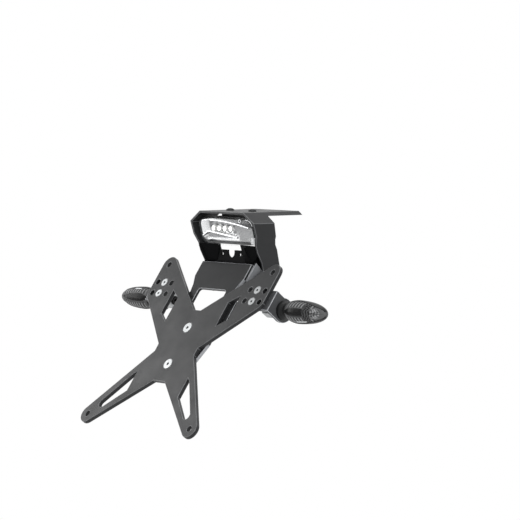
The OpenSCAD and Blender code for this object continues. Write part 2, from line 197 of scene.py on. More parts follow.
def moulded_plastic(name, colour, roughness=0.5, gleam=0.5):
    """Spark-eroded plastic, or lacquer, with a fine grain."""
    mat, nodes, links, shader, coords = new_material(name)
    cloud = noise(nodes, links, coords, 80, 4)
    tone = ramp(nodes, links, cloud.outputs["Fac"],
                [c * 0.85 for c in colour], [c * 1.15 for c in colour], 0.3, 0.7)
    links.new(tone.outputs["Color"], shader.inputs["Base Color"])
    shader.inputs["Roughness"].default_value = roughness
    grain = noise(nodes, links, coords, 2600, 2)
    bump(nodes, links, grain.outputs["Fac"], shader, 0.00004, 0.5)
    shader.inputs["Specular IOR Level"].default_value = gleam
    return mat


def lens_plastic(name, colour, alpha, roughness=0.08, gleam=0.5):
    """Moulded lens plastic that lets light through by its alpha, with faint flow marks."""
    mat, nodes, links, shader, coords = new_material(name)
    cloud = noise(nodes, links, coords, 90, 3)
    tone = ramp(nodes, links, cloud.outputs["Fac"],
                [c * 0.92 for c in colour], [min(1.0, c * 1.08) for c in colour], 0.3, 0.7)
    links.new(tone.outputs["Color"], shader.inputs["Base Color"])
    gloss = ramp(nodes, links, noise(nodes, links, coords, 160, 3).outputs["Fac"],
                 grey(roughness * 0.7), grey(roughness * 1.5), 0.3, 0.7)
    links.new(gloss.outputs["Color"], shader.inputs["Roughness"])
    flow = noise(nodes, links, coords, 700, 2)
    bump(nodes, links, flow.outputs["Fac"], shader, 0.00002, 0.3)
    shader.inputs["Alpha"].default_value = alpha
    shader.inputs["IOR"].default_value = 1.49
    shader.inputs["Specular IOR Level"].default_value = gleam
    return mat


def toned(mat, dark, light):
    """Lets the shape's tone attribute set the base colour, from dark at 0 to light at 1."""
    nodes, links = mat.node_tree.nodes, mat.node_tree.links
    tone = nodes.new("ShaderNodeAttribute")
    tone.attribute_name = "tone"
    colour = ramp(nodes, links, tone.outputs["Fac"], dark, light)
    links.new(colour.outputs["Color"], nodes["Principled BSDF"].inputs["Base Color"])
    return mat


def bright_insert(name, colour):
    """Metallised moulding whose light and shade are painted by the shape's tone: darker in the
    deep corners, lighter on the cups and shelves.
    """
    mat = plated_metal(name, colour, 0.14)
    return toned(mat, grey(0.0), colour)


def edge_highlight_coat(name, colour):
    """Shinier powder coat, given a lighter colour, that paints the highlight along a sharp
    edge or fold.
    """
    mat = powder_coat(name, colour, 0.3)
    mat.node_tree.nodes["Principled BSDF"].inputs["Specular IOR Level"].default_value = 0.7
    return mat


# ---- row frame, grids and background ----

# Points of a grid, or of a node, that are closer than this in metres are merged
GRID_MERGE, NODE_MERGE = 2e-6, 1e-6


def to_row(points):
    """Millimetres about the plate's centre to metres in the row frame."""
    return (np.asarray(points, dtype=float) + PLATE_CENTRE) * MM


def from_plate(height, depth):
    """Place along the bike and upwards, about the plate's centre, of a point that is given
    up the plate and out of its face."""
    lean = math.pi / 2 - PLATE_TILT
    return (height * math.cos(lean) - depth * math.sin(lean),
            height * math.sin(lean) + depth * math.cos(lean))


def step(value, start, end):
    """Smooth rise from 0 to 1 between start and end."""
    t = np.clip((value - start) / (end - start), 0.0, 1.0)
    return t * t * (3.0 - 2.0 * t)


def full_turn(count):
    """Angles round a full turn, evenly spaced, without the last, which is the first."""
    return np.linspace(0.0, 2.0 * math.pi, count, endpoint=False)


def grid_piece(name, grid, core, ring=False, tone=None):
    """Mesh from a grid of points in millimetres (rows, columns, 3). Each cell is one face;
    with ring the last column joins the first. Points that meet, as at a pole, are merged.
    Faces point outwards on a closed surface, and otherwise away from core. tone, one number
    for each point, is kept as an attribute that the material reads."""
    rows, columns = grid.shape[:2]
    index = np.arange(rows * columns).reshape(rows, columns)
    if ring:
        index = np.column_stack([index, index[:, 0]])
    faces = np.stack([index[:-1, :-1], index[:-1, 1:], index[1:, 1:], index[1:, :-1]], axis=-1)
    mesh = bpy.data.meshes.new(name)
    mesh.from_pydata(to_row(grid.reshape(-1, 3)).tolist(), [], faces.reshape(-1, 4).tolist())
    if tone is not None:
        layer = mesh.attributes.new("tone", "FLOAT", "POINT")
        layer.data.foreach_set("value", np.clip(tone, 0.0, 1.0).ravel().astype(np.float32))
    bm = bmesh.new()
    bm.from_mesh(mesh)
    bmesh.ops.remove_doubles(bm, verts=bm.verts, dist=GRID_MERGE)
    bmesh.ops.recalc_face_normals(bm, faces=bm.faces)
    centre = mathutils.Vector(to_row(core).tolist())
    facing = sum(f.normal.dot(f.calc_center_median() - centre) * f.calc_area()
                 for f in bm.faces)
    if facing < 0.0:
        bmesh.ops.reverse_faces(bm, faces=bm.faces)
    bm.to_mesh(mesh)
    bm.free()
    mesh.polygons.foreach_set("use_smooth", np.ones(len(mesh.polygons), dtype=bool))
    obj = bpy.data.objects.new(name, mesh)
    bpy.context.scene.collection.objects.link(obj)
    return obj


def background_rays(nodes, links):
    """1 for camera, mirror and transmitted rays, which see the plain background."""
    path = nodes.new("ShaderNodeLightPath")
    seen = path.outputs["Is Camera Ray"]
    for kind in ("Is Transmission Ray", "Is Glossy Ray"):
        most = nodes.new("ShaderNodeMath")
        most.operation = "MAXIMUM"
        links.new(seen, most.inputs[0])
        links.new(path.outputs[kind], most.inputs[1])
        seen = most.outputs[0]
    return seen


def plain_behind(nodes, links, lit, plain, surface):
    """Joins two shaders: background rays see the plain one, and all others the lit one."""
    mix = nodes.new("ShaderNodeMixShader")
    links.new(background_rays(nodes, links), mix.inputs["Fac"])
    links.new(lit.outputs[0], mix.inputs[1])
    links.new(plain.outputs[0], mix.inputs[2])
    links.new(mix.outputs[0], surface)


# ---- shapes ----

# Edges that turn by more than SHARP are rounded, and those that turn by less than FLAT are
# merged away. A face's lean is the share of its normal that points to the left or right:
# a fold leans by a share in FOLD_LEAN and an ear by more than EAR_LEAN. Faces smaller than
# these areas, in square metres, count as neither.
SHARP, FLAT = math.radians(28), math.radians(0.6)
FOLD_LEAN, FOLD_AREA = (0.3, 0.97), 6e-6
EAR_LEAN, EAR_AREA = 0.98, 100e-6


def adopt(obj, node, slot, *paints):
    """Gives a piece its materials and its place on the body, and hides the node it stands for.
    """
    for mat in paints:
        obj.data.materials.append(mat)
    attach(obj, "root")
    if node:
        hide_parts(node)


def repaint(node, material):
    """Gives a carried node its material."""
    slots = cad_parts[node].data.materials
    slots.clear()
    slots.append(material)


def thicken(obj, wall):
    """Gives a surface its wall, inwards from the side that its faces point to."""
    solid = obj.modifiers.new("Wall", "SOLIDIFY")
    solid.thickness = wall
    solid.offset = -1.0
    solid.use_even_offset = False


def eased_copy(node, name, radius, segments=2, edge_slot=0, sides=False):
    """A merged copy of a node's mesh whose sharp edges are rounded by a bevel. The flats
    keep their own normals, weighted by face area. The bevel takes material edge_slot, and
    where that is a slot of its own it keeps its full width, so that the slot's painted
    highlight shows as a line. With sides, the folds take that slot too, and the ears take
    the slot after it."""
    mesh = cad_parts[node].data.copy()
    mesh.name = name
    # Cleared before the faces get their slots, because this puts them all in slot 0
    mesh.materials.clear()
    bm = bmesh.new()
    bm.from_mesh(mesh)
    bmesh.ops.remove_doubles(bm, verts=bm.verts, dist=NODE_MERGE)
    bmesh.ops.dissolve_limit(bm, angle_limit=FLAT, verts=bm.verts, edges=bm.edges)
    bm.to_mesh(mesh)
    bm.free()
    obj = bpy.data.objects.new(name, mesh)
    bpy.context.scene.collection.objects.link(obj)
    count = len(mesh.polygons)
    mesh.polygons.foreach_set("use_smooth", np.ones(count, dtype=bool))
    if sides:
        area, normal = np.empty(count), np.empty(count * 3)
        mesh.polygons.foreach_get("area", area)
        mesh.polygons.foreach_get("normal", normal)
        lean = np.abs(normal[::3])
        fold = (lean > FOLD_LEAN[0]) & (lean < FOLD_LEAN[1]) & (area > FOLD_AREA)
        ear = (lean > EAR_LEAN) & (area > EAR_AREA)
        mesh.polygons.foreach_set("material_index", (
            edge_slot * fold + (edge_slot + 1) * ear).astype(np.int32))
    bevel = obj.modifiers.new("Edges", "BEVEL")
    bevel.width = radius
    bevel.segments = segments
    bevel.limit_method = "ANGLE"
    bevel.angle_limit = SHARP
    bevel.use_clamp_overlap = edge_slot == 0
    bevel.material = edge_slot
    even = obj.modifiers.new("Flats", "WEIGHTED_NORMAL")
    even.mode = "FACE_AREA"
    even.weight = 100
    even.keep_sharp = False
    return obj


# ---- tail lamp ----

# The lamp's half width, its lower and upper edge and the front rim of its lens
LAMP_HALF, LAMP_LOW, LAMP_HIGH, LAMP_RIM = 38.5, 86.9, 111.2, 57.0
LAMP_MIDDLE, LAMP_HALF_HEIGHT = (LAMP_HIGH + LAMP_LOW) / 2.0, (LAMP_HIGH - LAMP_LOW) / 2.0
# A point in front of the lamp, from which its faces look away
LAMP_CORE = (0.0, 76.0, 98.0)
# Radius of the turn from the lens' walls to its face
LENS_TURN = 4.2
# The bright insert: its depth behind the face, its inset at the sides and at the top and
# bottom, its wall in metres, the places and radius of its four cups, the middle of its
# chamber's round right end, and the pitch of the lower chamber's flutes
INSERT_DEPTH, INSERT_INSET, INSERT_WALL = 1.9, (1.8, 1.6), 0.0005
LED_X, LED_Z, CUP_RADIUS = -21.5 + 8.2 * np.arange(4), 100.6, 3.9
CHAMBER_X, CHAMBER_Z = 10.5, 100.9
FLUTE_PITCH = 2.6
# The ring round the lamp's screw (middle, half width and half height), and the lens' lug
SCREW_X, SCREW_Z, SCREW_HALF = 21.0, 108.3, (1.5, 1.3)
LUG_PLACE, LUG_HALF, LUG_POWER = (37.6, 55.4, 90.6), (2.6, 1.9, 3.4), 0.45


def lens_face(z):
    """Place along the bike of the lamp's rear face at a height: a straight lean, plus the
    square of the height over 105.5, which rolls it forward over the last millimetres."""
    return 54.2 - (z - 89.0) * 0.245 + 0.09 * np.clip(z - 105.5, 0.0, None) ** 2


def on_face(x, z, depth):
    """Points at a depth behind the lamp's rear face."""
    return np.stack([x, lens_face(z) + depth, z], -1)


def lamp_outline(angle, inset):
    """Rounded box outline |x/w|^p + |z/h|^p = 1 with p = 5, drawn in by an inset."""
    c, s = np.cos(angle), np.sin(angle)
    x = (LAMP_HALF - inset) * np.sign(c) * np.abs(c) ** 0.4
    z = LAMP_MIDDLE + (LAMP_HALF_HEIGHT - inset) * np.sign(s) * np.abs(s) ** 0.4
    return x, z


def lamp_lens_grid():
    """Rings from the rim to the middle of the face: the wall runs back along the bike,
    turns a quarter circle and closes over the leaning face."""
    angle = full_turn(192)
    x, z = lamp_outline(angle, 0.0)
    rows = []
    for share in np.linspace(0.0, 1.0, 7)[:-1]:
        wall = (lens_face(z) + LENS_TURN - LAMP_RIM) * share
        rows.append(np.stack([x, LAMP_RIM + wall, z], -1))
    for turn in np.linspace(0.0, math.pi / 2.0, 11):
        x, z = lamp_outline(angle, LENS_TURN * (1.0 - math.cos(turn)))
        rows.append(on_face(x, z, LENS_TURN * (1.0 - math.sin(turn))))
    x, z = lamp_outline(angle, LENS_TURN)
    for share in np.linspace(1.0, 0.0, 15)[1:]:
        rows.append(on_face(x * share, LAMP_MIDDLE + (z - LAMP_MIDDLE) * share, 0.0))
    return np.stack(rows)


def upper_line(x):
    """Height of the bright line over the lamp's chamber, falling to the right."""
    return 106.9 - 0.0864 * x - 0.00195 * x ** 2


def shelf_line(x):
    """Height of the shelf between the lamp's chambers, with its turn at the left."""
    return np.minimum(94.5 - 0.125 * x, 97.9 + 0.5 * (x + 27.4))


def blob(x, z, cx, cz, rx, rz):
    """A soft spot: exp(-r^2) about a centre."""
    return np.exp(-((x - cx) / rx) ** 2 - ((z - cz) / rz) ** 2)


def band(value, low, high, soft=0.25):
    """1 between low and high and 0 outside, with soft sides."""
    return step(value, low - soft, low + soft) * (1.0 - step(value, high - soft, high + soft))


def ripple(value, pitch):
    """A cosine wave whose crests are a pitch apart."""
    return np.cos(2.0 * math.pi * value / pitch)


def blend(tone, level, share):
    """Moves a tone towards a level by a share from 0 to 1."""
    return tone + (level - tone) * share


def lamp_bowl():
    """The bright insert behind the lens. Its depth under the face is a sum of soft steps:
    a wall that slopes in from the left, a chamber with four paraboloid cups and a round
    right end, and a fluted lower chamber. The tone follows the same lines and paints the
    light and shade on them: painted highlights on the shelves, walls and cups, grey on the
    plain right panel and painted shade in the corners."""
    s, t = np.meshgrid(np.linspace(-1.0, 1.0, 281), np.linspace(-1.0, 1.0, 121),
                       indexing="ij")
    x = (LAMP_HALF - INSERT_INSET[0]) * s
    z = LAMP_MIDDLE + (LAMP_HALF_HEIGHT - INSERT_INSET[1]) * t * (
        1.0 - np.abs(s) ** 8) ** 0.25
    top, shelf = upper_line(x), shelf_line(x)
    # Distance from the middle of the chamber's round right end, and 0 to the left of it
    end = np.hypot(np.clip(x - CHAMBER_X, 0.0, None),
                   np.where(x > CHAMBER_X, z - CHAMBER_Z, 0.0))
    chamber = (band(z, shelf + 1.3, top - 0.9, 0.5) * (1.0 - step(end, 4.5, 5.3))
               * step(x, -36.5, -27.0))
    lower = band(z, 91.4, shelf - 1.3, 0.35) * band(x, -30.5, 14.6, 0.6)
    depth = 1.1 + 2.6 * chamber + 1.3 * lower
    # The plain panel, and the strip over the bright line, which darkens to the right
    tone = 0.40 - 0.06 * step(z, 96.0, 104.0)
    tone = blend(tone, 0.04 + 0.46 * np.exp(-np.clip(x + 24.0, 0.0, None) / 14.0),
                 step(z, top + 0.5, top + 1.2))
    # The wall that slopes in from the left, with a painted highlight
    wall = (1.0 - step(x, -28.6, -27.2)) * step(z, shelf - 0.6, shelf + 0.2)
    bright = (0.80 + 0.30 * (1.0 - step(x, -36.0, -28.0))
              + 0.14 * (1.0 - step(z, 97.0, 101.5)))
    tone = blend(tone, bright, wall * (1.0 - 0.5 * step(z, 106.5, 109.0)))
    # The chamber: painted reflections, bright on the cups and dark beside them,
    # painted shade in its left corner and a painted highlight round its right end
    inside = (step(x, -27.6, -26.9) * band(z, shelf + 1.0, top - 0.5)
              * (1.0 - step(end, 4.6, 5.0)))
    chamber_light_and_shade = (0.36 - 0.33 * blob(x, z, -25.3, 101.6, 1.2, 3.2)
           - 0.30 * blob(x, z, -23.6, 106.0, 2.4, 1.4))
    for number, centre in enumerate(LED_X):
        r2 = ((x - centre) ** 2 + (z - LED_Z) ** 2) / CUP_RADIUS ** 2
        depth += 1.3 * np.clip(1.0 - r2, 0.0, None) ** 0.8 * chamber
        chamber_light_and_shade = (chamber_light_and_shade + 0.75 * blob(x, z, centre + 0.8, 100.9, 2.6, 2.8)
               - 0.34 * blob(x, z, centre + 5.0, 104.3 - 0.4 * number, 1.7, 1.3)
               - 0.24 * blob(x, z, centre + 4.6, 98.9 - 0.3 * number, 1.2, 1.2))
    tone = blend(tone, chamber_light_and_shade, inside)
    tone = blend(tone, 0.82, band(end, 4.5, 5.4) * step(x, 9.0, 11.5))
    # The lower chamber's flutes, with painted light and shade along them
    flutes = ripple(x, FLUTE_PITCH)
    depth += 0.2 * lower * flutes
    tone = blend(tone, 0.36 + 0.16 * flutes * ripple(z, 1.7), lower)
    # A groove that is only painted: a line of painted shade between two painted
    # highlights, rising from the lower left corner
    diagonal = z - (91.3 + 0.333 * (x + LAMP_HALF))
    left = 1.0 - step(x, -30.5, -29.0)
    tone = blend(tone, 0.10, left * band(diagonal, 0.5, 1.6))
    tone = blend(tone, 0.90, left * np.maximum(band(diagonal, -0.7, 0.5),
                                               band(diagonal, 1.6, 2.3)))
    # Painted highlights on the shelf, and on the floor and right wall of the lower chamber
    for mask in (band(z, shelf - 1.3, shelf + 1.5) * band(x, -27.5, 14.5, 1.0),
                 band(z, 90.0, 92.4) * band(x, -31.0, 15.0, 0.8),
                 band(x, 13.4, 16.4, 0.5) * band(z, 90.2, 95.6, 0.5)):
        tone = blend(tone, 0.92, mask)
    # The speckled foot at the right, and the dark lower edge
    foot = step(x, 26.0, 30.0) * (1.0 - step(z, 92.5, 94.5))
    tone = blend(tone, 0.5 + 0.35 * ripple(x, 2.3) * ripple(z, 1.9), foot)
    tone = blend(tone, 0.05, 1.0 - step(z, 89.3, 89.9))
    return on_face(x, z, INSERT_DEPTH + depth), tone


def pebble_grid(centre, half):
    """A small rounded block: a superellipsoid |x/a|^p + |y/b|^p + |z/c|^p = 1, which is a
    sphere with each sine and cosine raised to LUG_POWER, 2 / p."""
    lat, lon = np.meshgrid(np.linspace(-math.pi / 2.0, math.pi / 2.0, 33), full_turn(48),
                           indexing="ij")

    def power(value):
        return np.sign(value) * np.abs(value) ** LUG_POWER

    unit = np.stack([power(np.cos(lat)) * power(np.cos(lon)),
                     power(np.cos(lat)) * power(np.sin(lon)), power(np.sin(lat))], -1)
    return np.asarray(centre) + unit * np.asarray(half)


def strip_grid(path, normal, width, rise):
    """A bead along a path of points: an ellipse across it, with the given width, which
    rises out of the path along the normal, carried along it."""
    along = np.gradient(path, axis=0)
    along /= np.linalg.norm(along, axis=1, keepdims=True)
    side = np.cross(along, normal)
    side /= np.linalg.norm(side, axis=1, keepdims=True)
    turn = full_turn(18)[None, :, None]
    return (path[:, None, :] + side[:, None, :] * (np.cos(turn) * width / 2.0)
            + np.asarray(normal) * (np.sin(turn) * rise))


# ---- indicators ----

# The indicators' axis, up the plate from its centre and out of its face
AXIS_HEIGHT, AXIS_DEPTH = 53.8, -19.5
AXIS_Y, AXIS_Z = from_plate(AXIS_HEIGHT, AXIS_DEPTH)
# The brackets' distance from the centre line, from which an indicator's reach is counted
FOLD_HALF = 89.0
LENS_START, LENS_END, LENS_RADIUS = 11.0, 58.0, 10.5
RIB_PITCH, RIB_DEPTH = 3.8, 0.35
# Walls in metres
INDICATOR_WALL, SHELL_WALL = 0.0012, 0.0003
# The painted glint strip, a bright bead on the lens that paints the highlight along its
# edge: its distance from the axis as a share of the outline's, its width and its rise
GLINT_SHARE, GLINT_WIDTH, GLINT_RISE = 0.955, 1.3, 0.3
# The stalk's outline, as reach and radius: hollow stud, collar, waist and seat
STALK_PROFILE = np.array([
    [-23.0, 1.8], [-23.0, 4.0], [0.0, 4.0], [0.0, 8.2], [0.3, 8.55], [2.8, 8.5], [4.2, 7.9],
    [5.4, 7.15], [6.6, 6.85], [8.0, 7.1], [9.4, 7.8], [10.6, 8.4], [11.0, 8.5], [11.0, 1.8],
    [-23.0, 1.8]])


def lens_reach(count):
    """Reaches along the lens, closer together towards its point: 1 - (1 - s)^1.4 of its
    length."""
    share = 1.0 - (1.0 - np.linspace(0, 1, count)) ** 1.4
    return LENS_START + (LENS_END - LENS_START) * share


def lens_radius(reach):
    """Radius at a distance from the bracket: a short swell, then a blunt point."""
    s = np.clip((reach - LENS_START) / (LENS_END - LENS_START), 0.0, 1.0)
    return (LENS_RADIUS * np.sqrt(np.clip(1.0 - s ** 3, 0.0, None))
            * (1.0 - 0.18 * np.clip(1.0 - s * 3.4, 0.0, None) ** 2))


def about_axis(reach, radius, turn, side):
    """Points round an indicator's axis; turn is 0 rearwards and grows upwards."""
    return np.stack(np.broadcast_arrays(side * (FOLD_HALF + reach),
                                        AXIS_Y - radius * np.cos(turn),
                                        AXIS_Z + radius * np.sin(turn)), -1)


def ridge_edge(reach):
    """Half height of the smooth rearward ridge as a share of the radius: a long leaf."""
    return 0.38 * step(reach, 6.0, 20.0) * (1.0 - step(reach, 30.0, 56.5))


def lens_form(side):
    """The lens: 0.95 of the outline's radius, less a cosine groove at every rib pitch above
    and below the smooth leaf-shaped ridge. The tone paints light and shade: painted shade
    on the ridge, lighter on its lower part, and in the grooves, and painted highlights on
    the ribs' crests. The left lens is lighter at its tip, and the right one has a band of
    dark painted reflection and bright painted glints near its tip."""
    reach, turn = np.meshgrid(lens_reach(221), full_turn(180), indexing="ij")
    height = np.sin(turn)
    edge = ridge_edge(reach)
    rise = np.abs(height - (0.04 if side > 0.0 else 0.11))
    fans = (step(rise, edge + 0.03, edge + 0.14)
            * step(reach, 13.0, 16.0) * (1.0 - step(reach, 46.0, 50.0)))
    wave = 0.5 + 0.5 * ripple(reach - 2.0 * rise, RIB_PITCH)
    radius = lens_radius(reach) * (1.0 - 0.05 * (1.0 - step(reach, 50.0, LENS_END)))
    radius = radius - np.minimum(RIB_DEPTH * fans * wave ** 1.5, radius * 0.2)
    ridge = 1.0 - step(rise, edge - 0.04, edge + 0.06)
    # Painted shade in the grooves, and painted highlights on the ribs' crests in a band of
    # heights
    tone = 0.32 - 0.18 * fans * wave + 0.60 * fans * (1.0 - wave) ** 3 * band(
        np.abs(height), 0.45, 0.88, 0.06)
    # Painted shade on the ridge, lighter on its lower part
    tone = blend(tone, 0.03 + 0.12 * step(-height, 0.15, 0.35), ridge)
    if side > 0.0:
        # Right lens: a band of dark painted reflection with faint flecks, then bright painted
        # glints near the tip
        flecks = (np.cos(reach * 2.9 + 3.0 * np.sin(turn * 5.0))
                  * np.cos(turn * 9.0 + reach * 0.8))
        tone = blend(tone * 0.6, 0.08 + 0.14 * flecks, band(reach, 35.5, 43.5, 1.5))
        sharp = np.clip(1.6 * flecks * np.cos(reach * 4.3 + 2.0), -0.5, 1.0)
        tip = band(reach, 44.5, 54.0, 1.0) * band(np.abs(height), 0.06, 0.62, 0.10)
        tone = blend(tone, 0.30 + 0.55 * sharp, tip)
    else:
        tone = blend(tone * 0.62, 0.5, step(reach, 54.5, 56.5))
    return about_axis(reach, radius, turn, side), tone


def stalk_grid(side):
    """The stalk and its hollow stud: a closed profile of reach and radius carried round
    the axis."""
    return about_axis(STALK_PROFILE[:, :1], STALK_PROFILE[:, 1:], full_turn(96)[None, :],
                      side)


def back_shell_grid(side):
    """The dark half behind the lens: the outline's full radius over the forward half
    turn. Its two edges reach further rearwards near the tip and turn in to the lens."""
    reach, share = np.meshgrid(lens_reach(121), np.linspace(-1.0, 1.0, 97), indexing="ij")
    wrap = 0.22 + (0.40 if side > 0.0 else 0.10) * step(reach, 26.0, 50.0)
    turn = math.pi + share * (math.pi / 2.0 + wrap)
    edge = 1.0 - np.abs(share)
    radius = lens_radius(reach) * (1.0 - 0.07 * (1.0 - step(edge, 0.0, 0.02)))
    return about_axis(reach, radius, turn, side)


# ---- operators ----

class TAILTIDY_OT_stage(bpy.types.Operator):
    """Make the camera, the world, the softboxes and the floor"""
    bl_idname = "tailtidy.stage"
    bl_label = "Stage"

    def execute(self, context):
        scene = context.scene
        scene.view_settings.view_transform = "Standard"
        azimuth, elevation = math.radians(CAMERA_BEARING), math.radians(CAMERA_RISE)
        back = np.array([math.sin(azimuth) * math.cos(elevation),
                         -math.cos(azimuth) * math.cos(elevation), math.sin(elevation)])
        right = np.array([math.cos(azimuth), math.sin(azimuth), 0.0])
        up = np.cross(back, right)
        data = bpy.data.cameras.new("Camera")
        data.sensor_width = SENSOR_WIDTH
        data.lens = FOCAL_PIXELS / FRAME_PIXELS * SENSOR_WIDTH
        data.clip_end = 50.0
        camera = bpy.data.objects.new("Camera", data)
        matrix = np.eye(4)
        matrix[:3, :3] = np.column_stack([right, up, back])
        matrix[:3, 3] = (PLATE_CENTRE + back * CAMERA_BACK + right * CAMERA_RIGHT
                         + up * CAMERA_UP) * MM
        camera.matrix_world = mathutils.Matrix(matrix.tolist())
        scene.collection.objects.link(camera)
        scene.camera = camera

        world = bpy.data.worlds.new("World")
        scene.world = world
        world.use_nodes = True
        nodes, links = world.node_tree.nodes, world.node_tree.links
        sky = nodes["Background"]
        sky.inputs["Color"].default_value = (0.93, 0.96, 1.0, 1.0)
        sky.inputs["Strength"].default_value = 0.28
        seen = nodes.new("ShaderNodeBackground")
        seen.inputs["Color"].default_value = (1.0, 1.0, 1.0, 1.0)
        seen.inputs["Strength"].default_value = 1.0
        plain_behind(nodes, links, sky, seen, nodes["World Output"].inputs["Surface"])

        # Name, place and side in metres, and power in watts
        for name, spot, size, energy in (
                ("Left softbox", (-0.50, -0.32, 0.06), 0.38, 1.15),
                ("Overhead softbox", (-0.3, 0.2, 1.5), 1.0, 7.0),
                ("Edge light", (0.75, -0.75, 0.85), 0.45, 5.0),
                ("Low softbox", (0.95, -0.30, -0.05), 0.4, 2.6)):
            lamp = bpy.data.lights.new(name, "AREA")
            lamp.shape = "SQUARE"
            lamp.size = size
            lamp.energy = energy
            light = bpy.data.objects.new(name, lamp)
            light.location = spot
            aim = mathutils.Vector(SOFTBOX_AIM) - light.location
            light.rotation_euler = aim.to_track_quat("-Z", "Y").to_euler()
            scene.collection.objects.link(light)

        low, half = CAD_LOW[2] - FLOOR_DROP, FLOOR_HALF
        mesh = bpy.data.meshes.new("floor")
        mesh.from_pydata([(-half, -half, low), (half, -half, low), (half, half, low),
                          (-half, half, low)], [], [(0, 1, 2, 3)])
        floor = bpy.data.objects.new("floor", mesh)
        scene.collection.objects.link(floor)
        mat, nodes, links, shader, _ = new_material("pale floor")
        shader.inputs["Base Color"].default_value = (0.9, 0.9, 0.9, 1.0)
        shader.inputs["Roughness"].default_value = 0.9
        white = nodes.new("ShaderNodeEmission")
        plain_behind(nodes, links, shader, white, nodes["Material Output"].inputs["Surface"])
        mesh.materials.append(mat)
        return {"FINISHED"}


class TAILTIDY_OT_sheets(bpy.types.Operator):
    """Round the edges of the folded sheets and coat them satin black"""
    bl_idname = "tailtidy.sheets"
    bl_label = "Coated sheets"

    def execute(self, context):
        sizes, finishes = context.scene.tail_tidy_sizes, context.scene.tail_tidy_finishes
        # Each coat is a multiple of one colour. The lighter ones are lit copies and painted
        # highlights, and the darker one paints shade
        base = finishes.powder_coat
        coat = powder_coat("satin powder coat", base, gleam=0.27)
        # The tongue sits in the hood's shade: its coat is less glossy, a shaded copy that
        # paints that shade
        tongue = powder_coat("satin powder coat, sheltered", base, gleam=0.15)
        # Painted light: the indicator brackets' coat is the black lightened 3.2 times, a lit
        # copy
        arm = powder_coat("satin powder coat, lit copy, indicator brackets", [c * 3.2 for c in base])
        # Painted shade: the lamp bracket, under the hood, gets the coat darkened to a third
        # and almost without gloss
        inner = powder_coat("powder coat, painted shade", [c * 0.32 for c in base], 0.5, 0.02)
        # Painted highlights: the coats on cut edges, edges and folds are the black lightened
        # 4.5, 16 and 21 times
        rim = edge_highlight_coat("painted highlight over cut edges", [c * 4.5 for c in base])
        edge = edge_highlight_coat("painted highlight over edges", [c * 16.0 for c in base])
        fold = edge_highlight_coat("painted highlight over folds", [c * 21.0 for c in base])
        # Painted light: the side ears' coat is the black lightened 14 times, a lit copy for
        # the ears' side faces
        ear = powder_coat("satin powder coat, lit copy, side ears", [c * 14.0 for c in base])
        full, fine = sizes.sheet_edge, sizes.sheet_edge * 0.6
        # Each sheet's edge radius and its coats: on the flats, on the edges (and the folds,
        # where there is a third) and on the side ears. The coats on the edges and folds paint
        # highlights, the ears' and indicator brackets' coats are lit copies that paint light,
        # and the lamp bracket's coat paints shade. The lamp bracket has small facets.
        for node, radius, coats in (
                ("number_plate_carrier", full, (coat, rim)),
                ("tongue_bracket", full, (tongue, edge, ear)),
                ("lamp_bracket", fine, (inner,)),
                ("lamp_hood", full, (coat, rim)),
                ("left_indicator_bracket", full, (arm, fold, arm)),
                ("right_indicator_bracket", full, (arm, fold, arm))):
            obj = eased_copy(node, node + "_sheet", radius, 3, min(1, len(coats) - 1),
                             len(coats) == 3)
            adopt(obj, node, "black_sheet", *coats)
        return {"FINISHED"}


class TAILTIDY_OT_fasteners(bpy.types.Operator):
    """Round and plate the bolts, nuts, washers and screws"""
    bl_idname = "tailtidy.fasteners"
    bl_label = "Fasteners"

    def execute(self, context):
        sizes, finishes = context.scene.tail_tidy_sizes, context.scene.tail_tidy_finishes
        zinc = plated_metal("bright zinc", finishes.zinc, 0.34)
        dark = plated_metal("black zinc", [c * 0.1 for c in finishes.zinc], 0.45)
        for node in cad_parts:
            if any(word in node for word in ("bolt", "nut", "washer", "screw", "spacer")):
                obj = eased_copy(node, node + "_plated", sizes.bolt_edge)
                adopt(obj, node, "zinc_steel", dark if "lamp" in node else zinc)
        return {"FINISHED"}


